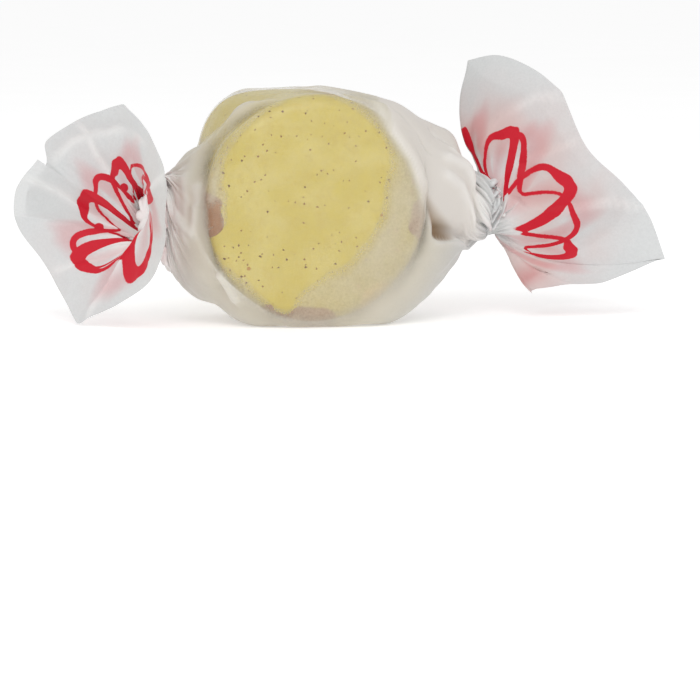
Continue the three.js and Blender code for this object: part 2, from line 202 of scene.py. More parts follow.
# How much light passes straight through the paper where it touches the taffy, is near it and is far off, and
# the share of the rest that it spreads to its other side.
CLEAR_TOUCH = 0.9
CLEAR_NEAR = 0.76
CLEAR_FAR = 0.06
TRANSLUCENT_SHARE = 0.18

# Points of the paper's mesh: round the sheet, along the roll, and along each fan.
COLUMNS = 300
ROLL_ROWS = 190
FAN_ROWS = {"left": 52, "right": 62}
# Gathers at each twist: the side, its row value, their number and their depth.
GATHERS = (("left", 0.0, 15, 1.4), ("right", 1.0, 13, 2.0))
# What a gather's values are drawn from: how far it strays and its width, as shares of their spacing, how far
# it runs into the roll and the fan, in row values, and its strength.
GATHER_STRAY = (-0.28, 0.28)
GATHER_WIDTH = (0.3, 0.46)
INTO_ROLL = (0.09, 0.3)
INTO_FAN = (0.35, 1.1)
GATHER_STRENGTH = (0.75, 1.0)
GATHER_WANDER = 0.012  # of a turn
GATHER_SLANT = 0.45  # how far a valley leans over, as a share of its depth
GATHER_SHARE = 0.6  # of the sheet's spare width, as the rest lies in flattened folds

RELAX_STEPS = 200
SETTLED = 0.6  # the share of the steps after which the sheet bends more easily
BEND_EARLY = 0.12
BEND_LATE = 0.05
SLACK = 1.02  # how wide the sheet may lie, as a share of its smooth form
SIDE_PULL = 0.5  # how strongly it keeps its width and length
CROSS_PULL = 0.1  # and its squareness
MOST_MOVE = 0.1  # in one step

CRUMPLE = 0.7
FACETS = ((5.5, 0.5), (2.3, 0.16))  # size and height of the crumpled paper's facets
LIFTED = 0.32  # how far the paper stands off the taffy where it doesn't cling
CLING_BLEND = (-1.0, 0.5)  # from a patch's edge, between which it comes down on to the taffy
PRESS_REACH = (0.9, 2.2)  # from the taffy, between which it is no longer pressed
POCKET_DEPTH = 1.2
SOFTEN_STEPS = 5
SOFTEN = 0.3
TOUCH = (0.08, 0.34)  # distances from the taffy between which the paper stops touching it
WARM_LIGHT_REACH = 4.4
CLOSE_REACH = 0.9
WEAR_AND_HIGHLIGHT_WIDTH = 0.5  # of the pale line along a crease, partly wear and partly a painted highlight

# Where the paper clings to each cut face: degrees from +X towards +Z, and the patch's radius there.
FRONT_PATCH = (
    (0, 7.6), (18, 8.7), (35, 10.2), (54, 11.3), (89, 12.4), (120, 12.3), (144, 12.1), (156, 11.9),
    (164, 11.0), (174, 10.6), (180, 12.3), (184, 12.7), (200, 12.6), (216, 12.0), (237, 12.05),
    (246, 12.8), (256, 12.8), (259, 10.2), (266, 8.9), (279, 7.9), (314, 7.4), (350, 7.5),
)
BUBBLE = dict(x=-10.4, z=12.8, wide=0.6, tall=1.9, lift=2.4)  # where air is left over the left stripe
BACK_PATCH = (
    (0, 9.5), (40, 11.0), (80, 11.4), (120, 8.2), (150, 7.6), (190, 9.8), (230, 11.6), (262, 12.4),
    (275, 10.0), (310, 10.9),
)
# Where it clings to the log's side: the size of the patches, how much they vary, their mean, and the place in
# degrees, spread and reach of the one over the shoulder.
SIDE_PATCHES = dict(size=6.0, vary=2.2, mean=-0.5, middle=135, around=38, reach=4.0)
CLING_WAVES = ((2.6, 0.45), (0.9, 0.2))  # size and height of the waves in every patch's edge
CLING_EDGE = (0.4, 1.6)  # from a cut face, between which its patch gives way to the side's

# A fold that runs down the right fan's front, as pairs of row value and turn.
FAN_FOLD = ((1.38, 0.594), (1.55, 0.527), (1.73, 0.49), (1.84, 0.475), (1.94, 0.457), (2.0, 0.42))
# Sharp folds in the sheet: height, width, the side that it falls away to where it has one, and its line as
# pairs of row value and turn.
CREASES = (
    (0.45, 1.6, "row", ((0.54, 0.65), (0.58, 0.609), (0.63, 0.575), (0.67, 0.527), (0.72, 0.46))),
    (-0.8, 1.0, "turn", ((0.71, 0.46), (0.80, 0.438), (0.90, 0.40))),
    (0.45, 0.4, None, ((0.71, 0.458), (0.80, 0.435), (0.93, 0.39))),
    (0.35, 0.4, None, ((0.02, 0.44), (0.07, 0.465), (0.13, 0.475))),
    (0.3, 0.35, None, ((0.12, 0.613), (0.11, 0.531), (0.11, 0.438))),
    (0.3, 0.35, None, ((0.145, 0.579), (0.14, 0.52), (0.13, 0.464))),
    (0.3, 0.35, None, ((0.085, 0.55), (0.08, 0.479), (0.07, 0.405))),
    (0.5, 0.5, None, ((0.22, 0.42), (0.26, 0.394), (0.29, 0.375))),
    (0.4, 0.5, None, ((0.78, 0.64), (0.87, 0.6), (0.97, 0.56))),
    (0.4, 0.5, None, ((0.74, 0.565), (0.83, 0.542), (0.92, 0.5))),
    (-0.6, 1.0, None, ((0.95, 0.66), (0.82, 0.665), (0.72, 0.69))),
    (0.5, 0.8, None, ((0.97, 0.58), (0.85, 0.6), (0.74, 0.6))),
    (0.7, 1.0, None, ((-0.97, 0.985), (-0.92, 0.895), (-0.87, 0.78), (-0.9, 0.7))),
    (-0.8, 0.8, None, ((-1.0, 0.035), (-0.83, 0.03), (-0.6, 0.05), (-0.3, 0.08))),
    (0.7, 0.8, None, ((-0.98, 0.21), (-0.83, 0.215), (-0.6, 0.24), (-0.35, 0.3))),
    (-0.6, 0.9, None, ((-1.0, 0.33), (-0.7, 0.35), (-0.4, 0.38))),
    (0.6, 1.2, None, ((-1.0, 0.86), (-0.75, 0.87), (-0.4, 0.9))),
    (-0.6, 1.0, None, ((-1.0, 0.62), (-0.7, 0.62), (-0.4, 0.64))),
    (0.8, 1.0, None, ((1.6, 0.72), (1.81, 0.668), (1.89, 0.639), (1.94, 0.62), (1.99, 0.585))),
    (-0.8, 1.1, None, ((1.35, 0.66), (1.65, 0.6), (2.0, 0.54))),
    (-0.7, 1.5, "turn", FAN_FOLD),
    (0.5, 0.5, None, FAN_FOLD),
    (0.6, 1.0, None, ((1.3, 0.25), (1.6, 0.24), (2.0, 0.27))),
    (-0.8, 1.2, None, ((1.4, 0.8), (1.7, 0.79), (2.0, 0.77))),
    (0.7, 1.2, None, ((1.3, 0.95), (1.6, 0.96), (2.0, 0.98))),
    (-0.6, 1.0, None, ((1.3, 0.1), (1.6, 0.09), (2.0, 0.07))),
)
CREASE_ROWS = 0.25  # how far from its line a crease is worked out
CREASE_TURNS = 0.12
CREASE_BLUR = {"row": 0.010, "turn": 0.006}  # over which a one-sided crease starts
CREASE_AGAIN = 0.8  # the share of its height that it gets once more after the sheet has settled, in the roll
# Where the paper of the right cone is doubled over the log's edge: turn and row value.
DOUBLED = (
    (0.44, 0.73), (0.46, 0.72), (0.527, 0.67), (0.575, 0.63), (0.609, 0.58), (0.66, 0.56), (0.78, 0.58),
)
# Lines on the sheet beside the log's right edge, each by a row value, the turn there and a slope: the end of
# the cone's flap, and the hollow's side along the log's edge and its top along the cone's fold.
FLAP_END = (0.72, 0.46, 0.275)
HOLLOW_SIDE = (0.67, 0.523, 0.79)
HOLLOW_TOP = (0.67, 0.535, 0.62)

# ---- Floor, light and camera, in metres where nothing else is said ----

FLOOR_REACH = 12.0
FLOOR_GLOW = 0.3
KEY_LIGHT = dict(place=(-0.08, -0.45, 0.42), target=(0, 0, 0.01), size=0.4, power=1.2)
WORLD_STRENGTH = 0.7
# Azimuth and elevation of the line of sight to the middle of the log's front, and of the camera's own axis.
SIGHT = (math.radians(7.8), math.radians(4.302))
VIEW = (math.radians(8.4), math.radians(6.931))
# The point at the front's middle, and the camera's distance from it and focal length, in millimetres.
SIGHT_POINT = (0, -8.8, LOG_AXIS)
SIGHT_DISTANCE = 350.0
LENS = 162.4
NEAREST_SEEN = 0.01

# ---- Number helpers ----


def smoothstep(low, high, value):
    """0 below low, 1 above high, and smooth between."""
    t = np.clip((value - low) / (high - low), 0.0, 1.0)
    return t * t * (3 - 2 * t)


def lattice_noise(points, size, seed):
    """Smooth noise from -1 to 1 with lumps of the given size, at points of shape (..., 3)."""
    table = np.random.default_rng(seed).uniform(-1, 1, (32, 32, 32))
    place = np.asarray(points) / size
    cell = np.floor(place).astype(int)
    part = place - cell
    part = part * part * (3 - 2 * part)
    total = np.zeros(place.shape[:-1])
    for corner in np.ndindex(2, 2, 2):
        i = [(cell[..., a] + corner[a]) % 32 for a in range(3)]
        share = np.prod([part[..., a] if corner[a] else 1 - part[..., a] for a in range(3)], axis=0)
        total += share * table[i[0], i[1], i[2]]
    return total


def layered_noise(points, layers, seed):
    """Noise from layers of lumps, each given by its size and height."""
    return sum(height * lattice_noise(points, size, seed + k) for k, (size, height) in enumerate(layers))


def through(values, position):
    """A smooth curve through the rows of values. Position counts the rows."""
    last = len(values) - 1
    i = np.clip(np.floor(position).astype(int), 0, last - 1)
    f = (position - i)[..., None]
    a, b, c, d = (values[np.clip(i + k, 0, last)] for k in (-1, 0, 1, 2))
    return b + 0.5 * f * (c - a + f * (2 * a - 5 * b + 4 * c - d + f * (3 * (b - c) + d - a)))


def round_loop(points, corners, share):
    """A closed curve through points (centripetal Catmull-Rom), smooth but at its corners, at shares of it."""
    points = np.asarray(points, float)
    count = len(points)
    place = np.mod(share, 1.0) * count
    i = np.floor(place).astype(int)
    f = (place - i)[..., None]
    p = [points[(i + k) % count] for k in (-1, 0, 1, 2)]
    step = [np.sqrt(np.linalg.norm(p[k + 1] - p[k], axis=-1))[..., None] for k in range(3)]
    start = (p[1] - p[0]) / step[0] - (p[2] - p[0]) / (step[0] + step[1]) + (p[2] - p[1]) / step[1]
    end = (p[2] - p[1]) / step[1] - (p[3] - p[1]) / (step[1] + step[2]) + (p[3] - p[2]) / step[2]
    start, end = start * step[1], end * step[1]
    straight = p[2] - p[1]
    start = np.where(np.isin(i % count, corners)[..., None], straight, start)
    end = np.where(np.isin((i + 1) % count, corners)[..., None], straight, end)
    return (
        p[1]
        + f * start
        + f**2 * (-3 * p[1] + 3 * p[2] - 2 * start - end)
        + f**3 * (2 * p[1] - 2 * p[2] + start + end)
    )


def unit(vectors):
    return vectors / np.maximum(np.linalg.norm(vectors, axis=-1, keepdims=True), 1e-9)


def grid_normals(grid):
    """Normals of a grid of points, rows along the roll and columns round it, pointing outwards."""
    along = np.gradient(grid, axis=0)
    around = np.gradient(grid, axis=1)
    return unit(np.cross(along, around))


# ---- The taffy ----


def angle_from(middle, angle):
    """How far an angle is from a middle one, from -pi to pi."""
    return np.mod(angle - middle + math.pi, 2 * math.pi) - math.pi


def log_scale(angle, along):
    """How far the log's side is from its axis at an angle from +X towards +Z, as a share of its radius."""
    squash = 1 - LOG_SQUASH / LOG_RADIUS * np.sin(angle - LOG_SQUASH_ANGLE) ** 2
    below = np.clip(-np.sin(angle), 0, 1)
    away = angle_from(SHOULDER["angle"], angle)
    shoulder = np.exp(-((away / SHOULDER["around"]) ** 2)) * smoothstep(*SHOULDER["grows"], along)
    return squash * (1 + (LOG_SAG * below**2 + SHOULDER["reach"] * shoulder) / LOG_RADIUS)


def log_distance(points):
    """Distance of points from the log's surface, negative inside."""
    x, y, z = points[..., 0], points[..., 1], points[..., 2] - LOG_AXIS
    radial = np.hypot(x, z) / log_scale(np.arctan2(z, x), y)
    outside_side = radial - LOG_RADIUS + LOG_EDGE
    outside_face = np.abs(y) - LOG_HALF_LENGTH + LOG_EDGE
    corner = np.hypot(np.maximum(outside_side, 0), np.maximum(outside_face, 0))
    return corner + np.minimum(np.maximum(outside_side, outside_face), 0) - LOG_EDGE


def log_gradient(points):
    """Direction away from the log's surface."""
    step = 0.02
    axes = np.eye(3) * step
    sides = [log_distance(points + axis) - log_distance(points - axis) for axis in axes]
    return unit(np.stack(sides, axis=-1))


def log_profile(face_points=14, edge_points=9, side_points=22):
    """Points (distance from the axis, place along it) from the front face's middle to the back face's."""
    flat_radius = LOG_RADIUS - LOG_EDGE
    reach = LOG_HALF_LENGTH - LOG_EDGE
    flat = [(flat_radius * math.sqrt(i / face_points), -LOG_HALF_LENGTH) for i in range(face_points)]
    turns = [i / (edge_points - 1) * math.pi / 2 for i in range(edge_points)]
    edge = [(flat_radius + LOG_EDGE * math.sin(t), -reach - LOG_EDGE * math.cos(t)) for t in turns]
    side = [(LOG_RADIUS, -reach + 2 * reach * i / side_points) for i in range(1, side_points)]
    back = [(r, -y) for r, y in reversed(flat + edge)]
    return np.array(flat + edge + side + back)


def log_point(radial, along, angle):
    radial, along, angle = np.broadcast_arrays(radial, along, angle)
    reach = radial * log_scale(angle, along)
    return np.stack([reach * np.cos(angle), along, LOG_AXIS + reach * np.sin(angle)], axis=-1)


def taffy_relief(points):
    """Small lumps that pulled taffy has."""
    return layered_noise(points, TAFFY_LUMPS, SEED)


def new_object(name, data):
    """A new object in the scene."""
    thing = bpy.data.objects.new(name, data)
    bpy.context.scene.collection.objects.link(thing)
    return thing


def add_mesh(name, points, faces, replaced):
    """A mesh piece from points in millimetres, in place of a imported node."""
    mesh = bpy.data.meshes.new(name)
    mesh.from_pydata((np.asarray(points) * MM).tolist(), [], faces)
    mesh.update()
    mesh.shade_smooth()
    piece = new_object(name, mesh)
    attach(piece, "root")
    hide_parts(replaced)
    return piece


def tube_faces(rings, around):
    """Faces of a tube of rings that a point closes at each end. The two points come after the rings'."""
    faces = []
    for i in range(rings - 1):
        for j in range(around):
            k = (j + 1) % around
            faces.append((i * around + j, i * around + k, (i + 1) * around + k, (i + 1) * around + j))
    first = rings * around
    last_ring = first - around
    for j in range(around):
        k = (j + 1) % around
        faces.append((first, k, j))
        faces.append((first + 1, last_ring + j, last_ring + k))
    return faces


def slab_faces(rows, across):
    """Faces of a slab between two grids of points, its outer one and its inner one."""
    inner = rows * across
    faces = []
    for i in range(rows - 1):
        left = i * across
        right = left + across - 1
        for a in range(left, right):
            b = a + across
            faces.append((a, a + 1, b + 1, b))
            faces.append((inner + a, inner + b, inner + b + 1, inner + a + 1))
        faces.append((left, left + across, inner + left + across, inner + left))
        faces.append((right, inner + right, inner + right + across, right + across))
    for a in range(across - 1):
        b = inner - across + a
        faces.append((a, inner + a, inner + a + 1, a + 1))
        faces.append((b, b + 1, inner + b + 1, inner + b))
    return faces


def make_core():
    profile = log_profile()[1:-1]
    angles = np.linspace(0, 2 * math.pi, CORE_AROUND, endpoint=False)
    rings = log_point(profile[:, :1], profile[:, 1:], angles)
    ends = np.array([[0, -LOG_HALF_LENGTH, LOG_AXIS], [0, LOG_HALF_LENGTH, LOG_AXIS]])
    points = np.vstack([rings.reshape(-1, 3), ends])
    points += log_gradient(points) * taffy_relief(points)[:, None]
    faces = tube_faces(len(profile), CORE_AROUND)
    return add_mesh("taffy_core_soft", points, faces, "taffy_core")


def stripe_lift(shell, shares, inward, shown, smear):
    """How far a strip stands out of the log. Beyond its soft uneven edge it dips under the yellow taffy."""
    limit = shown * (1 - np.abs(shares) ** 5) + 0.2 * lattice_noise(shell, 1.1, SEED + 7) - 0.05
    if smear is not None:
        cover = 1.2 * np.exp(-(((shares - smear) / SMEAR_WIDTH) ** 2)) * smoothstep(0.0, 0.3, inward)
        limit = limit * (1 - cover)
    tuck = smoothstep(-STRIPE_FADE, STRIPE_FADE, inward - limit)
    lift = taffy_relief(shell) + STRIPE_PROUD - STRIPE_TUCK * tuck
    lift[[0, -1]] -= STRIPE_END_TUCK
    return lift


def make_stripe(name, middle, half_width, shown, smear):
    """A strip that runs the log's length and stands a hair proud of it."""
    profile = log_profile(face_points=40, edge_points=14, side_points=30)
    profile = profile[profile[:, 0] > LOG_RADIUS - STRIPE_DEPTH - STRIPE_PAST]
    shares = np.linspace(-1, 1, STRIPE_ACROSS)
    radial, along = profile.T[..., None] + 0 * shares
    place = np.stack(np.broadcast_arrays(along, middle, shares), -1)
    wander = lattice_noise(place, STRIPE_WANDER["size"], SEED)
    degrees = middle + half_width * shares * (1 + STRIPE_WANDER["share"] * wander)
    angle = np.radians(degrees + STRIPE_WANDER["degrees"] * wander)
    shell = log_point(radial, along, angle)
    lift = stripe_lift(shell, shares, (LOG_RADIUS - radial) / STRIPE_DEPTH, shown, smear)
    outer = shell + log_gradient(shell) * lift[..., None]
    along = np.clip(along, -STRIPE_HALF_LENGTH, STRIPE_HALF_LENGTH)
    inner = log_point(radial - STRIPE_DEPTH, along, angle)
    points = np.vstack([outer.reshape(-1, 3), inner.reshape(-1, 3)])
    return add_mesh(name + "_soft", points, slab_faces(*radial.shape), name)


# ---- The paper's smooth form ----


def box_distance(angle, half, up, down, square):
    """Distance from the roll's axis to a rounded box, at an angle from +Z towards +Y."""
    s = np.abs(np.sin(angle)) / half
    c = np.abs(np.cos(angle)) / np.where(np.cos(angle) > 0, up, down)
    return (s**square + c**square) ** (-1 / square)


def roll_point(angle, along):
    """The roll between its twists. Along runs from 0 at the left twist to 1 at the right one."""
    x, top, bottom, half, square = np.moveaxis(through(STATIONS, along * (len(STATIONS) - 1)), -1, 0)
    axis = (top + bottom) / 2
    lofted = box_distance(angle, half, top - axis, axis - bottom, square)
    radius, room = INSIDE["radius"], INSIDE["room"]
    rise = np.sqrt(np.maximum(radius**2 - x**2, 0))
    up = np.maximum(LOG_AXIS + rise - axis, room)
    down = np.maximum(axis - LOG_AXIS + rise * (1 + LOG_SAG / radius), room)
    inside = box_distance(angle, INSIDE["half"], up, down, INSIDE["square"]) + room
    reach = np.where(rise > room, inside, 0)
    larger = (lofted + reach + np.hypot(lofted - reach, INSIDE["blend"])) / 2
    away = angle_from(CORNER["angle"], angle)
    spread = ((x - CORNER["x"]) / CORNER["along"]) ** 2 + (away / CORNER["around"]) ** 2
    distance = larger + CORNER["reach"] * np.exp(-spread)
    return np.stack([x, distance * np.sin(angle), axis + distance * np.cos(angle)], axis=-1)


def angle_at(turn):
    """The angle from +Z towards +Y at a turn, which divides the sheet evenly round the log's middle."""
    angles = SEAM_ANGLE + np.linspace(0, 2 * math.pi, 721)
    ring = roll_point(angles, np.full_like(angles, 0.5))
    lengths = np.concatenate([[0], np.cumsum(np.linalg.norm(np.diff(ring, axis=0), axis=-1))])
    whole = np.floor(turn)
    return np.interp(turn - whole, lengths / lengths[-1], angles) + whole * 2 * math.pi


def lean(side, out):
    """How far the sheet has turned, from the twist (out 0) to where the twisting ends (out 1)."""
    share = np.clip(1 - out, 0, 1) ** 3
    return (1 if side == "left" else -1) * SPIRAL * share


def fan_point(side, turn, out):
    """A fan's paper. Out runs from 0 at the twist to 1 at the sheet's edge."""
    fan = FANS[side]
    angle = angle_at(turn) + lean(side, 0)
    start = roll_point(angle, np.full_like(angle, 0.0 if side == "left" else 1.0))
    angle = angle_at(turn) + THROAT_LEAN * lean(side, 0)
    across, upward = np.sin(angle), np.cos(angle)
    centre = np.array(fan["throat"])
    throat = centre + fan["radius"] * np.stack([0 * across, across, upward], axis=-1)
    end = round_loop(fan["edge"], fan["corners"], turn)
    first, second = (start + 2 * throat) / 3, (end + 2 * throat) / 3
    if fan["collar"]:
        collar = fan["collar"]
        aside, top, bottom = collar["x"]
        x = aside + np.where(upward > 0, top - aside, aside - bottom) * upward
        y = centre[1] + collar["aside"] * across
        z = centre[2] + np.where(upward > 0, collar["up"], collar["down"]) * upward
        first, second = throat, np.stack([x, y, z], axis=-1)
    out = (out * (1 - LAP_STEP * smoothstep(*LAP_STEP_TURNS, turn)))[..., None]
    inner = (1 - out) ** 3 * start + 3 * out * (1 - out) ** 2 * first
    return inner + 3 * out**2 * (1 - out) * second + out**3 * end


def sheet_rows():
    """Row values: -1 to 0 is the left fan, 0 to 1 the roll and 1 to 2 the right fan. In the roll they are
    close together where the sheet is steep."""
    table = np.linspace(0, 1, 400)
    angles = np.linspace(0, 2 * math.pi, 36, endpoint=False)
    lines = roll_point(*np.meshgrid(angles, table))
    steps = np.linalg.norm(np.diff(lines, axis=0), axis=-1).max(axis=1)
    length = np.concatenate([[0], np.cumsum(steps)])
    along = np.interp(np.linspace(0, length[-1], ROLL_ROWS), length, table)
    left = -(np.arange(FAN_ROWS["left"], 0, -1) / FAN_ROWS["left"])
    right = 1 + np.arange(1, FAN_ROWS["right"] + 1) / FAN_ROWS["right"]
    return np.concatenate([left, along, right])


def smooth_sheet(rows, turns):
    """The sheet's smooth form, before its gathers and creases."""
    row, turn = np.meshgrid(rows, turns, indexing="ij")
    inner = np.clip(row, 0, 1)
    out = np.minimum(inner, 1 - inner) / TWIST_SHARE
    turned = angle_at(turn) + np.where(inner < 0.5, lean("left", out), lean("right", out))
    grid = roll_point(turned, inner)
    for side, rows_in in (("left", rows < 0), ("right", rows > 1)):
        out = np.abs(row[rows_in]) if side == "left" else row[rows_in] - 1
        grid[rows_in] = fan_point(side, turn[rows_in], out)
    grid = grid + grid_normals(grid) * PAPER_LIFT
    climb = PAPER_LAP_GAP * smoothstep(1 - PAPER_CLIMB, 1, turn)
    grid = grid + grid_normals(grid) * climb[..., None]
    grid[..., 2] = np.maximum(grid[..., 2], FLOOR_GAP)
    return grid


# ---- Gathers, creases and contact ----


def gather(grid, rows, turns):
    """Folds the sheet's spare width inwards in valleys that are deepest at the twists."""
    draw = np.random.default_rng(SEED)
    normals = grid_normals(grid)
    tangents = unit(np.gradient(grid, axis=1))
    depth = np.zeros(grid.shape[:2])
    for side, ring, count, deepest in GATHERS:
        from_ring = (rows - ring) * (1 if side == "right" else -1)
        middles = (np.arange(count) + draw.uniform(*GATHER_STRAY, count)) / count * (1 + PAPER_OVERLAP)
        for middle in middles:
            into_roll = draw.uniform(*INTO_ROLL)
            into_fan = draw.uniform(*INTO_FAN)
            width = draw.uniform(*GATHER_WIDTH) / count
            strength = draw.uniform(*GATHER_STRENGTH)
            reach = np.where(from_ring < 0, -from_ring / into_roll, from_ring / into_fan)
            fall = np.clip(1 - reach, 0, 1) ** 1.4
            place = np.stack([rows * 6, rows * 0 + middle * 40, rows * 0], -1)
            wander = GATHER_WANDER * lattice_noise(place, 1.0, SEED)
            away = (turns[None, :] - middle - wander[:, None]) / width
            depth = np.maximum(depth, deepest * strength * fall[:, None] * np.exp(-np.abs(away) ** 1.5))
    folded = grid - normals * depth[..., None]
    return folded + tangents * (GATHER_SLANT * depth)[..., None]


def sheet_place(smooth, rows, turns, row, turn):
    """The point of the smooth sheet at a row value and a turn."""
    i = np.interp(row, rows, np.arange(len(rows)))
    j = np.interp(turn, turns, np.arange(len(turns)))
    i0, j0 = min(int(i), len(rows) - 2), min(int(j), len(turns) - 2)
    f, g = i - i0, j - j0
    low = smooth[i0, j0] * (1 - g) + smooth[i0, j0 + 1] * g
    high = smooth[i0 + 1, j0] * (1 - g) + smooth[i0 + 1, j0 + 1] * g
    return low * (1 - f) + high * f


def path_distance(points, path):
    """Distance of points from a path of straight stretches, and how far along it each is, from 0 to 1."""
    best = np.full(points.shape[:-1], 1e9)
    place = np.zeros(points.shape[:-1])
    for k in range(len(path) - 1):
        stretch = path[k + 1] - path[k]
        t = np.clip((points - path[k]) @ stretch / (stretch @ stretch), 0, 1)
        away = np.linalg.norm(points - path[k] - t[..., None] * stretch, axis=-1)
        closer = away < best
        best = np.where(closer, away, best)
        place = np.where(closer, (k + t) / (len(path) - 1), place)
    return best, place


def past_line(along, across, line_along, line_across, blur):
    """0 before a line and 1 past it, for points along and across the sheet."""
    order = np.argsort(line_along)
    edge = np.interp(along, line_along[order], line_across[order])
    return smoothstep(-blur, blur, across - edge)


def crease_lift(smooth, rows, turns):
    """Sharp folds along chosen lines, up from the sheet where the height is above 0 and down where below, and
    how near the sheet is to a crease, for a pale line there that is partly wear and partly a painted
    highlight."""
    lift = np.zeros(smooth.shape[:2])
    crease_wear_and_highlight = np.zeros(smooth.shape[:2])
    row, turn = np.meshgrid(rows, turns, indexing="ij")
    for height, width, side, line in CREASES:
        path = np.array([sheet_place(smooth, rows, turns, *place) for place in line])
        line_row, line_turn = np.array(line).T
        near = (row > line_row.min() - CREASE_ROWS) & (row < line_row.max() + CREASE_ROWS)
        near &= (turn > line_turn.min() - CREASE_TURNS) & (turn < line_turn.max() + CREASE_TURNS)
        away, place = path_distance(smooth[near], path)
        taper = smoothstep(0, 0.2, place + 0.08) * smoothstep(0, 0.2, 1.08 - place)
        share = 1.0
        if side == "row":
            share = past_line(turn[near], row[near], line_turn, line_row, CREASE_BLUR[side])
        if side == "turn":
            share = past_line(row[near], turn[near], line_row, line_turn, CREASE_BLUR[side])
        lift[near] += height * taper * share * np.exp(-away / width)
        crease_wear_and_highlight[near] = np.maximum(crease_wear_and_highlight[near], taper * np.exp(-((away / WEAR_AND_HIGHLIGHT_WIDTH) ** 2)))
    return lift, crease_wear_and_highlight


def between(grid, rows_apart, columns_apart):
    """The two ends of each link of the grid, as slices."""
    n_rows, n_columns = grid.shape[:2]
    first = (slice(0, n_rows - rows_apart), slice(max(-columns_apart, 0), n_columns - max(columns_apart, 0)))
    second = (slice(rows_apart, n_rows), slice(max(columns_apart, 0), n_columns + min(columns_apart, 0)))
    return first, second


def relax(grid, smooth, rows):
    """Settles the folded sheet: paper keeps its width and length, bends softly and stays off the taffy."""
    span = (1 + PAPER_OVERLAP) / (COLUMNS - 1)
    flat_width = PAPER_WIDTH_ROUND * span
    out = np.clip(np.maximum(-rows, rows - 1), 0, 1)[:, None]
    inner = np.clip(np.minimum(rows, 1 - rows), 0, 0.5)[:, None]
    hold = GATHER_SHARE * (1 - smoothstep(0.0, 0.55, out)) * (1 - 0.75 * smoothstep(0.0, 0.12, inner))
    width = np.linalg.norm(np.diff(smooth, axis=1), axis=-1)
    width = width * SLACK + (np.maximum(width, flat_width) - width * SLACK) * hold
    length = np.linalg.norm(np.diff(smooth, axis=0), axis=-1)
    mid_width = (width[:-1] + width[1:]) / 2
    mid_length = (length[:, :-1] + length[:, 1:]) / 2
    cross = np.hypot(mid_width, mid_length)
    links = [
        (between(grid, 0, 1), width, SIDE_PULL),
        (between(grid, 1, 0), length, SIDE_PULL),
        (between(grid, 1, 1), cross, CROSS_PULL),
        (between(grid, 1, -1), cross, CROSS_PULL),
    ]
    normals = grid_normals(smooth)
    most = 0.12 + 0.9 * smoothstep(0.05, 0.6, out)
    least = -4.0 + 3.0 * smoothstep(0.0, 0.5, out) + 3.75 * smoothstep(0.04, 0.24, inner)
    homing = 0.02 * smoothstep(0.1, 0.5, out) + 0.5 * smoothstep(0.75, 1.0, out)
    for step in range(RELAX_STEPS):
        bend = BEND_EARLY if step < RELAX_STEPS * SETTLED else BEND_LATE
        move = np.zeros_like(grid)
        for (first, second), rest, strength in links:
            link = grid[second] - grid[first]
            long = np.sqrt(np.einsum("ijk,ijk->ij", link, link))
            pull = link * (0.5 * strength * (1 - rest / np.maximum(long, 1e-6)))[..., None]
            move[first] += pull
            move[second] -= pull
        grid = grid + np.clip(move, -MOST_MOVE, MOST_MOVE)
        ripple = grid - smooth
        grid[:, 1:-1] += bend * (ripple[:, 2:] + ripple[:, :-2] - 2 * ripple[:, 1:-1])
        grid[1:-1] += bend * (ripple[2:] + ripple[:-2] - 2 * ripple[1:-1])
        away = np.einsum("ijk,ijk->ij", grid - smooth, normals)
        back = np.maximum(away - most, 0) + np.minimum(away - least, 0)
        grid = grid - normals * (0.6 * back)[..., None]
        grid = grid + (smooth - grid) * homing[..., None]
        if step % 4 == 3:
            near = log_distance(grid) < PAPER_CLEARANCE
            spots = grid[near]
            inside = log_distance(spots) - PAPER_CLEARANCE
            grid[near] = spots - log_gradient(spots) * inside[:, None]
    return grid


def crumple(grid, reach, turns):
    """Faint sharp creases all over the loose paper, as thin paper has once it has been handled."""
    round_way = turns[None, :] * PAPER_WIDTH_ROUND + 0 * reach
    place = np.stack([round_way, reach, 0 * reach], axis=-1)
    layers = enumerate(FACETS, 2)
    facets = sum(np.abs(lattice_noise(place, size, SEED + k)) * height for k, (size, height) in layers)
    loose = smoothstep(0.4, 2.5, log_distance(grid))
    return grid + grid_normals(grid) * (CRUMPLE * (facets - 0.2) * loose)[..., None]


def cling(points):
    """Where the paper sticks to the taffy: above 0 where it does, in millimetres from the patch's edge."""
    x, y, z = points[..., 0], points[..., 1], points[..., 2] - LOG_AXIS
    degrees = np.degrees(np.arctan2(z, x))
    radial = np.hypot(x, z)
    front = np.interp(degrees, *np.array(FRONT_PATCH).T, period=360) - radial
    back = np.interp(degrees, *np.array(BACK_PATCH).T, period=360) - radial
    bubble = ((x - BUBBLE["x"]) / BUBBLE["wide"]) ** 2
    bubble = bubble + ((points[..., 2] - BUBBLE["z"]) / BUBBLE["tall"]) ** 2
    front = front - BUBBLE["lift"] * np.exp(-bubble)
    shoulder = np.exp(-(((degrees - SIDE_PATCHES["middle"]) / SIDE_PATCHES["around"]) ** 2))
    side = SIDE_PATCHES["vary"] * lattice_noise(points, SIDE_PATCHES["size"], SEED + 6)
    side = side + SIDE_PATCHES["mean"] + SIDE_PATCHES["reach"] * shoulder
    wave = layered_noise(points, CLING_WAVES, SEED + 4)
    near, far = CLING_EDGE
    share = smoothstep(-LOG_HALF_LENGTH + near, -LOG_HALF_LENGTH + far, y)
    share_back = smoothstep(LOG_HALF_LENGTH - far, LOG_HALF_LENGTH - near, y)
    return front * (1 - share) + (side * (1 - share_back) + back * share_back) * share + wave


def taffy_distance(points):
    """Distance of points from the lumpy taffy and its strips."""
    return log_distance(points) - taffy_relief(points) - STRIPE_PROUD


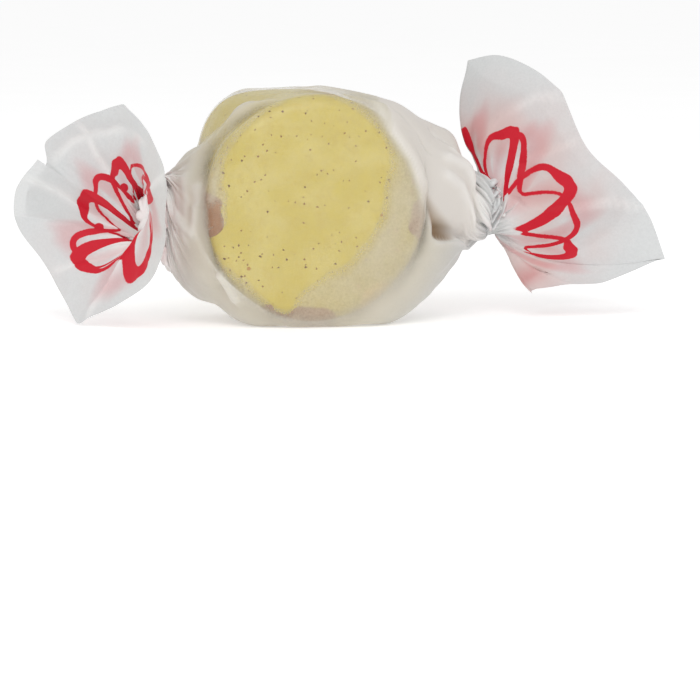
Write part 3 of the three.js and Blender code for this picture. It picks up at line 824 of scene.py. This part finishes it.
def press(grid, rows):
    """Presses the paper onto the taffy where it clings, holds it off elsewhere and softens the last steps."""
    away = taffy_distance(grid)
    hug = smoothstep(*CLING_BLEND, cling(grid))
    lifted = np.maximum(away, LIFTED * (1 - 0.5 * smoothstep(1.0, 3.0, 3.0 - grid[..., 2])))
    target = hug * PAPER_CLEARANCE + (1 - hug) * lifted
    share = 1 - smoothstep(*PRESS_REACH, away)
    grid = grid + log_gradient(grid) * ((target - away) * share)[..., None]
    share = SOFTEN * smoothstep(0.03, 0.08, rows) * (1 - smoothstep(0.92, 0.97, rows))
    for _ in range(SOFTEN_STEPS):
        around = grid[2:, 1:-1] + grid[:-2, 1:-1] + grid[1:-1, 2:] + grid[1:-1, :-2]
        grid[1:-1, 1:-1] += share[1:-1, None, None] * (around / 4 - grid[1:-1, 1:-1])
    grid[..., 2] = np.maximum(grid[..., 2], FLOOR_GAP_PRESSED)
    for _ in range(3):
        away = np.minimum(taffy_distance(grid) - PAPER_CLEARANCE, 0)
        grid = grid - log_gradient(grid) * away[..., None]
    return grid


def sheet_reach(smooth, rows):
    """How far each point of the sheet is outside its twist, measured along the sheet."""
    steps = np.linalg.norm(np.diff(smooth, axis=0), axis=-1)
    along = np.vstack([np.zeros(smooth.shape[1]), np.cumsum(steps, axis=0)])
    left_ring = along[np.argmin(np.abs(rows))]
    right_ring = along[np.argmin(np.abs(rows - 1))]
    return np.where(rows[:, None] < 0.5, left_ring - along, along - right_ring)


def flap_line(row):
    """The turn at which the right cone's flap ends."""
    flap_row, flap_turn, slope = FLAP_END
    return flap_turn - slope * (row - flap_row)


def pocket_and_shade(row, turn):
    """1 in the hollow beside the log's edge, between the right cone's fold and its flap, and 0 outside it.
    The sheet sinks there, and the paper's colour gets a painted shade.
    """
    side_row, side_turn, side_slope = HOLLOW_SIDE
    top_row, top_turn, top_slope = HOLLOW_TOP
    past_edge = smoothstep(-0.004, 0.014, row - side_row - side_slope * (side_turn - turn))
    above_flap = smoothstep(-0.004, 0.004, turn - flap_line(row))
    below_fold = 1 - smoothstep(-0.03, 0.012, turn - top_turn + top_slope * (row - top_row))
    return past_edge * above_flap * below_fold


def doubled_paper(row, turn):
    """1 where the right cone's paper is doubled over the log's edge, and 0 elsewhere."""
    fold_row = np.interp(turn, *np.array(DOUBLED).T)
    doubled = smoothstep(-0.003, 0.006, row - fold_row) * (1 - smoothstep(0.9, 1.0, row))
    doubled = doubled * smoothstep(-0.005, 0.005, turn - flap_line(row))
    return doubled * (1 - smoothstep(0.7, 0.78, turn))


def paper_grid(rows, turns, hollow):
    """The sheet's points, how far each is outside its twist and how near each is to a crease, for the pale
    line of wear and painted highlight there.
    """
    smooth = smooth_sheet(rows, turns)
    reach = sheet_reach(smooth, rows)
    lift, crease_wear_and_highlight = crease_lift(smooth, rows, turns)
    smooth = smooth + grid_normals(smooth) * lift[..., None]
    grid = gather(smooth, rows, turns)
    grid = relax(grid, smooth, rows)
    in_roll = ((rows > 0) & (rows < 1))[:, None]
    lift = CREASE_AGAIN * lift * in_roll - POCKET_DEPTH * hollow
    grid = grid + grid_normals(smooth) * lift[..., None]
    grid = crumple(grid, reach, turns)
    return press(grid, rows), reach, crease_wear_and_highlight


def nearness(away, reach):
    """1 on the taffy, falling off over a reach."""
    return np.exp(-((np.maximum(away, 0) / reach) ** 2))


def paper_marks(grid, row, turn, reach, crease_wear_and_highlight, hollow):
    """What the paper's material reads at each of its points, by name."""
    away = taffy_distance(grid)
    facing = log_gradient(grid)
    beside = smoothstep(0.8, 1.0, np.abs(facing[..., 0])) * (1 - smoothstep(0.1, 0.4, facing[..., 2]))
    seen = 1 - 0.75 * beside  # the paper is less clear over the log's left and right sides
    return {
        "doubled": doubled_paper(row, turn) * (1 - hollow),
        # painted shade in the right cone's hollow
        "pocket_and_shade": hollow,
        # painted warm light, strongest on the taffy
        "warm_light": nearness(away, WARM_LIGHT_REACH),
        "touch": (1 - smoothstep(*TOUCH, away)) * seen,
        "closeness": nearness(away, CLOSE_REACH) * seen,
        # pale crease lines: partly wear, partly a painted highlight
        "crease_wear_and_highlight": crease_wear_and_highlight,
        "turn": turn + 0 * reach,
        "reach": reach,
        "right_end": (row > 0.5) + 0 * reach,
    }


def make_paper():
    rows = sheet_rows()
    turns = np.linspace(0, 1 + PAPER_OVERLAP, COLUMNS)
    row, turn = rows[:, None], turns[None, :]
    hollow = pocket_and_shade(row, turn)
    grid, reach, crease_wear_and_highlight = paper_grid(rows, turns, hollow)
    index = np.arange(hollow.size).reshape(hollow.shape)
    faces = np.stack([index[:-1, :-1], index[1:, :-1], index[1:, 1:], index[:-1, 1:]], axis=-1)
    piece = add_mesh("wrapper_paper", grid.reshape(-1, 3), faces.reshape(-1, 4).tolist(), "wrapper")
    for name, values in paper_marks(grid, row, turn, reach, crease_wear_and_highlight, hollow).items():
        layer = piece.data.attributes.new(name, "FLOAT", "POINT")
        layer.data.foreach_set("value", np.ascontiguousarray(values, dtype=np.float32).ravel())
    return piece


def make_plug(side):
    """The sheet's inner folds, drawn together in the twist."""
    start, end, radius = PLUGS[side]
    start, end = np.array(start), np.array(end)
    shares = np.linspace(0.02, 0.98, PLUG_RINGS)
    angles = np.linspace(0, 2 * math.pi, PLUG_AROUND, endpoint=False)
    share, angle = np.meshgrid(shares, angles, indexing="ij")
    forward = unit(end - start)
    sideways = unit(np.cross(forward, (0, 0, 1)))
    upward = np.cross(sideways, forward)
    swell = (1 - (2 * share - 1) ** 8) ** 0.5
    lumps = lattice_noise(np.stack([np.cos(angle), np.sin(angle), share * 3], -1), 0.45, SEED + 8)
    phase = PLEATS["count"] / 2 * angle + PLEATS["slant"] * share + PLEATS["wander"] * lumps
    pleat = np.abs(np.sin(phase))
    reach = radius * swell * (1 - PLEATS["depth"] + PLEATS["depth"] * pleat * (1 + 0.6 * lumps))
    middle = start + (end - start) * share[..., None]
    middle = middle + forward * (0.5 * pleat * swell * smoothstep(0.7, 1.0, share))[..., None]
    outward = np.cos(angle)[..., None] * sideways + np.sin(angle)[..., None] * upward
    points = np.vstack([(middle + reach[..., None] * outward).reshape(-1, 3), start, end])
    return add_mesh("twist_folds_" + side, points, tube_faces(*share.shape), "wrapper")


# ---- Materials ----


class Nodes:
    """Short ways to add a material's nodes. Each method returns the new node's output socket."""

    def __init__(self, name):
        self.material = bpy.data.materials.new(name)
        self.material.use_nodes = True
        self.tree = self.material.node_tree
        self.tree.nodes.clear()
        self.output = self.tree.nodes.new("ShaderNodeOutputMaterial")

    def put(self, socket, value):
        if isinstance(value, bpy.types.NodeSocket):
            self.tree.links.new(value, socket)
        else:
            socket.default_value = value

    def node(self, kind, inputs=None, out=0, **settings):
        node = self.tree.nodes.new("ShaderNode" + kind)
        for key, value in settings.items():
            setattr(node, key, value)
        for key, value in (inputs or {}).items():
            self.put(node.inputs[key], value)
        return node.outputs[out]

    def math(self, operation, *values):
        return self.node("Math", dict(enumerate(values)), operation=operation)

    def times(self, value, factor):
        return self.math("MULTIPLY", value, factor)

    def times_plus(self, value, factor, added):
        return self.math("MULTIPLY_ADD", value, factor, added)

    def attribute(self, name):
        return self.node("Attribute", out="Fac", attribute_name=name)

    def place(self):
        return self.node("TexCoord", out="Object")

    def noise(self, size, detail=2.0, roughness=0.5, out="Fac"):
        """Noise from 0 to 1 with lumps of a size in millimetres."""
        inputs = {"Vector": self.place(), "Scale": 1 / (size * MM), "Detail": detail, "Roughness": roughness}
        return self.node("TexNoise", inputs, out=out)

    def ramp(self, value, low, high, to_low=0.0, to_high=1.0):
        inputs = {"Value": value, "From Min": low, "From Max": high, "To Min": to_low, "To Max": to_high}
        return self.node("MapRange", inputs, interpolation_type="SMOOTHSTEP")

    def mix_colour(self, factor, first, second):
        node = self.tree.nodes.new("ShaderNodeMix")
        node.data_type = "RGBA"
        self.put(node.inputs["Factor"], factor)
        self.put(node.inputs[6], first)
        self.put(node.inputs[7], second)
        return node.outputs[2]

    def mix_shader(self, factor, first, second):
        return self.node("MixShader", {0: factor, 1: first, 2: second})

    def bump(self, height, distance, strength):
        return self.node("Bump", {"Height": height, "Distance": distance * MM, "Strength": strength})

    def kept(self, value, mask, share):
        """A value, less the given share of it where the mask is 1."""
        return self.times(value, self.times_plus(mask, -share, 1.0))

    def finish(self, shader):
        self.tree.links.new(shader, self.output.inputs["Surface"])
        return self.material


def speckle(n, colour):
    """Small ragged specks in loose groups over a colour."""
    ragged = n.noise(0.22, detail=1.0, out="Color")
    shift = n.node("VectorMath", {0: ragged, "Scale": SPECK_RAGGED * MM}, operation="SCALE")
    place = n.node("VectorMath", {0: n.place(), 1: shift}, operation="ADD")
    crowd = n.ramp(n.noise(SPECK_CROWD["size"]), 0.38, 0.62, SPECK_CROWD["fewest"], SPECK_CROWD["most"])
    for size, radius, share, tint in SPECKS:
        cells = n.tree.nodes.new("ShaderNodeTexVoronoi")
        n.put(cells.inputs["Vector"], place)
        n.put(cells.inputs["Scale"], 1 / (size * MM))
        pick = n.node("SeparateColor", {0: cells.outputs["Color"]})
        chosen = n.math("LESS_THAN", pick, n.times(crowd, share))
        spot = n.ramp(cells.outputs["Distance"], radius / size, radius / size * 0.7)
        colour = n.mix_colour(n.times(chosen, spot), colour, tint)
    return colour


def taffy_material(name, light, middle, dark, speckled):
    """Pulled taffy: cloudy, faintly streaked, and flecked with dark specks where speckled."""
    n = Nodes(name)
    cloud = n.noise(4.5, detail=3)
    streak = n.noise(1.1, detail=4, roughness=0.6)
    colour = n.mix_colour(n.ramp(cloud, 0.35, 0.65), middle, light)
    colour = n.mix_colour(n.ramp(streak, 0.45, 0.75, 0, 0.5), colour, dark)
    if speckled:
        colour = speckle(n, colour)
    relief = n.noise(0.5, detail=3, roughness=0.6)
    shader = n.tree.nodes.new("ShaderNodeBsdfPrincipled")
    n.put(shader.inputs["Base Color"], colour)
    n.put(shader.inputs["Roughness"], n.ramp(streak, 0.3, 0.7, 0.36, 0.5))
    n.put(shader.inputs["Subsurface Weight"], 0.2)
    n.put(shader.inputs["Subsurface Radius"], (1.0, 0.8, 0.35))
    n.put(shader.inputs["Subsurface Scale"], 0.0012)
    n.put(shader.inputs["Normal"], n.bump(relief, 0.06, 0.5))
    return n.finish(shader.outputs[0])


def stroke(n, turn, reach, waves, phase, middle, swing, weight, weight_swing, width_round):
    """Ink of a brush stroke that waves round a fan. Its width is even however the fan spreads."""
    angle = n.times_plus(turn, 2 * math.pi * waves, phase)
    double = n.times_plus(angle, 2.0, 1.1)
    wave = n.times(n.math("SINE", angle), swing)
    wave = n.times_plus(n.math("SINE", double), 0.3 * swing, wave)
    slope = n.times(n.math("COSINE", angle), swing)
    slope = n.times_plus(n.math("COSINE", double), 0.6 * swing, slope)
    slope = n.math("DIVIDE", n.times(slope, 2 * math.pi * waves), width_round)
    stretch = n.math("SQRT", n.times_plus(slope, slope, 1.0))
    away = n.math("ABSOLUTE", n.math("SUBTRACT", n.math("SUBTRACT", reach, middle), wave))
    away = n.math("DIVIDE", away, stretch)
    thick = n.times_plus(n.math("SINE", n.math("ADD", angle, 0.9)), weight_swing, weight)
    return n.math("SUBTRACT", thick, away)


def dots(n, turn, reach, waves, offset, middle, radius, width_round):
    """Ink of a row of dots round a fan."""
    share = n.math("FRACT", n.times_plus(turn, waves, offset))
    across = n.times(n.math("DIVIDE", n.math("SUBTRACT", share, 0.5), waves), width_round)
    along = n.math("SUBTRACT", reach, middle)
    away = n.math("SQRT", n.times_plus(across, across, n.times(along, along)))
    return n.math("SUBTRACT", radius, away)


def print_ink(n):
    """Ink of a plain braid of two waving strokes round each fan, with dots between them on the left one, and
    of the softer marks painted where the print of the paper behind would show through the sheet."""
    turn = n.attribute("turn")
    reach = n.attribute("reach")
    right = n.attribute("right_end")
    marks = []
    ghosts = []
    for first_waves, second_waves, middle, swing, narrow, spread, spread_from, spotted in PRINT:
        width_round = n.times_plus(n.math("SUBTRACT", reach, spread_from), spread, narrow)
        width_round = n.math("MAXIMUM", width_round, narrow)
        first = stroke(n, turn, reach, first_waves, 0.4, middle, swing, 0.46, 0.26, width_round)
        swing_back = swing * 0.85
        second = stroke(n, turn, reach, second_waves, 2.9, middle + 0.4, swing_back, 0.27, 0.14, width_round)
        mark = n.math("MAXIMUM", first, second)
        if spotted:
            spots = dots(n, turn, reach, second_waves, 0.1, middle - 0.5, 0.6, width_round)
            mark = n.math("MAXIMUM", mark, spots)
        under = n.times(n.ramp(turn, PRINT_ENDS[1], PRINT_ENDS[0]), -2.0)
        marks.append(n.math("ADD", mark, n.times(under, right)))
        ghosts.append(stroke(n, turn, reach, first_waves, 2.6, middle + 0.6, swing, 0.4, 0.5, width_round))
    both = n.node("Mix", {0: right, 2: marks[0], 3: marks[1]})
    behind = n.node("Mix", {0: right, 2: ghosts[0], 3: ghosts[1]})
    rough_edge = n.times_plus(n.noise(0.3), 0.12, -0.06)
    return n.ramp(n.math("ADD", both, rough_edge), -0.04, 0.05), n.ramp(behind, -1.6, 0.7)


def paper_clear(n, grain, ink, bunched_and_lit):
    """How much light passes straight through the paper."""
    close = n.attribute("closeness")
    clear = n.times_plus(close, CLEAR_NEAR - CLEAR_FAR, CLEAR_FAR)
    clear = n.times_plus(grain, n.times_plus(close, 0.7, 0.04), clear)
    wet = n.times(n.attribute("touch"), n.times_plus(grain, 0.3, CLEAR_TOUCH))
    clear = n.math("MAXIMUM", clear, wet)
    doubled, crease_wear_and_highlight = n.attribute("doubled"), n.attribute("crease_wear_and_highlight")
    for mask, share in ((ink, 0.85), (doubled, 0.8), (bunched_and_lit, 0.85), (crease_wear_and_highlight, 0.5)):
        clear = n.kept(clear, mask, share)
    return clear


def paper_tint(n, fibre, ghost, bunched_and_lit):
    """The paper's colour, with painted light in it: warm near the taffy, near white where layers bunch and on
    the lap and the creases, a painted shade in the right cone's hollow, and pink round the print and where
    the print behind shows through.
    """
    right = n.attribute("right_end")
    reach = n.attribute("reach")
    turn = n.attribute("turn")
    # painted light: the fan's double layer at the lap, which shades darker, is lifted towards near white
    lapped_lit = n.math("MAXIMUM", n.ramp(turn, PAPER_OVERLAP + 0.002, PAPER_OVERLAP), n.ramp(turn, 0.998, 1.0))
    lapped_lit = n.times(lapped_lit, n.ramp(reach, 0.0, 4.0, 0.0, 0.14))
    # painted pink light round the print, for its colour showing through the paper's layers
    show_through_pink = n.times(n.ramp(reach, 1.0, 6.0), n.ramp(reach, 20.0, 10.0))
    show_through_pink = n.times(show_through_pink, n.times_plus(right, 0.6, 0.15))
    show_through_pink = n.times(show_through_pink, n.ramp(n.noise(8.0), 0.3, 0.7))
    tint = n.mix_colour(n.ramp(fibre, 0.3, 0.7), PAPER_DARK, PAPER_LIGHT)
    for mask, share, colour in (
        # painted warm light near the taffy
        (n.attribute("warm_light"), 0.5, PAPER_WARM_LIGHT),
        (n.attribute("doubled"), 1.0, PAPER_DOUBLED),
        # near white where layers bunch in the twists, partly their own colour and partly painted light
        # against the folds' shade
        (n.kept(bunched_and_lit, right, 0.8), 1.0, PAPER_BUNCHED_AND_LIT),
        # pale crease lines, partly wear and partly a painted highlight
        (n.attribute("crease_wear_and_highlight"), 0.4, PAPER_BUNCHED_AND_LIT),
        # painted light on the lap's double layer
        (lapped_lit, 1.0, PAPER_BUNCHED_AND_LIT),
        # painted shade in the hollow beside the log's right edge
        (n.attribute("pocket_and_shade"), 0.9, PAPER_POCKET_SHADE),
        # painted pink light round the print
        (show_through_pink, 1.0, PAPER_SHOW_THROUGH_PINK),
        # painted show-through: soft pink marks for the print of the layer behind
        (ghost, 0.3, INK),
    ):
        tint = n.mix_colour(n.times(mask, share), tint, colour)
    return tint


def paper_material():
    """Thin waxed paper, clear where it clings to the taffy and milky where it stands off."""
    n = Nodes("waxed_paper")
    fibre = n.noise(0.28, roughness=0.7)
    cloud = n.noise(1.6)
    ink, ghost = print_ink(n)
    grain = n.math("SUBTRACT", n.times_plus(fibre, 0.7, n.times(cloud, 0.3)), 0.5)
    # where layers bunch in the twists: whiter and less clear, partly painted light against the folds' shade
    bunched_and_lit = n.ramp(n.math("ABSOLUTE", n.attribute("reach")), 9.0, 1.5)
    clear = paper_clear(n, grain, ink, bunched_and_lit)
    colour = n.mix_colour(ink, paper_tint(n, fibre, ghost, bunched_and_lit), INK)
    normal = n.bump(n.math("ADD", n.times(fibre, 0.4), cloud), 0.05, 0.5)
    front = n.node("BsdfDiffuse", {"Color": colour, "Roughness": 0.3, "Normal": normal})
    through = n.node("BsdfTranslucent", {"Color": colour, "Normal": normal})
    share = n.times_plus(bunched_and_lit, -0.8 * TRANSLUCENT_SHARE, TRANSLUCENT_SHARE)
    body = n.mix_shader(share, front, through)
    sheet = n.mix_shader(clear, body, n.node("BsdfTransparent", {"Color": (1, 1, 1, 1)}))
    gloss = n.node("BsdfGlossy", {"Color": (1, 1, 1, 1), "Roughness": 0.5, "Normal": normal})
    facing = n.node("LayerWeight", {"Blend": 0.5, "Normal": normal}, out="Facing")
    edge = n.times_plus(n.math("POWER", facing, 4.0), 0.3, 0.015)
    return n.finish(n.mix_shader(edge, sheet, gloss))


def floor_material():
    n = Nodes("floor_white")
    faint = n.noise(40.0)
    colour = n.mix_colour(faint, (0.93, 0.93, 0.93, 1), (0.96, 0.96, 0.96, 1))
    shader = n.node("BsdfDiffuse", {"Color": colour})
    glow = n.node("Emission", {"Color": (1, 1, 1, 1), "Strength": FLOOR_GLOW})
    return n.finish(n.node("AddShader", {0: shader, 1: glow}))


# ---- Floor, light and camera ----


def make_floor():
    corners = [(x * FLOOR_REACH, y * FLOOR_REACH, 0) for x, y in ((-1, -1), (1, -1), (1, 1), (-1, 1))]
    mesh = bpy.data.meshes.new("floor")
    mesh.from_pydata(corners, [], [(0, 1, 2, 3)])
    floor = new_object("floor", mesh)
    mesh.materials.append(floor_material())


def make_light(name, place, target, size, power):
    light = bpy.data.lights.new(name, "AREA")
    light.size = size
    light.energy = power
    lamp = new_object(name, light)
    lamp.location = place
    lamp.rotation_euler = (Vector(target) - Vector(place)).to_track_quat("-Z", "Y").to_euler()


def make_world():
    world = bpy.data.worlds.new("world")
    world.use_nodes = True
    background = world.node_tree.nodes["Background"]
    background.inputs["Color"].default_value = (1, 1, 1, 1)
    background.inputs["Strength"].default_value = WORLD_STRENGTH
    bpy.context.scene.world = world


def direction(azimuth, elevation):
    """A unit vector along +Y, turned towards +X by the azimuth and dipped by the elevation."""
    level = math.cos(elevation)
    return Vector((math.sin(azimuth) * level, math.cos(azimuth) * level, -math.sin(elevation)))


def make_camera():
    """The camera looks past the log's front face, which is off the picture's middle."""
    place = (Vector(SIGHT_POINT) - direction(*SIGHT) * SIGHT_DISTANCE) * MM
    forward = direction(*VIEW)
    right = Vector((math.cos(VIEW[0]), -math.sin(VIEW[0]), 0))
    data = bpy.data.cameras.new("camera")
    data.lens = LENS
    data.clip_start = NEAREST_SEEN
    camera = new_object("camera", data)
    turn = Matrix((right, right.cross(forward), -forward)).transposed().to_4x4()
    camera.matrix_world = Matrix.Translation(place) @ turn
    bpy.context.scene.camera = camera


# ---- The whole scene ----

core = make_core()
core.data.materials.append(taffy_material("taffy_yellow", YELLOW_LIGHT, YELLOW, YELLOW_DARK, speckled=True))
for node, middle, half_width, shown, smear, slot in STRIPES:
    stripe = make_stripe(node, middle, half_width, shown, smear)
    tones = STRIPE_TONES[slot]
    stripe.data.materials.append(taffy_material(node + "_colour", *tones, speckled=False))
waxed_paper = paper_material()
for piece in (make_paper(), make_plug("left"), make_plug("right")):
    piece.data.materials.append(waxed_paper)
make_floor()
make_world()
make_light("key", **KEY_LIGHT)
make_camera()
bpy.context.scene.view_settings.view_transform = "Standard"
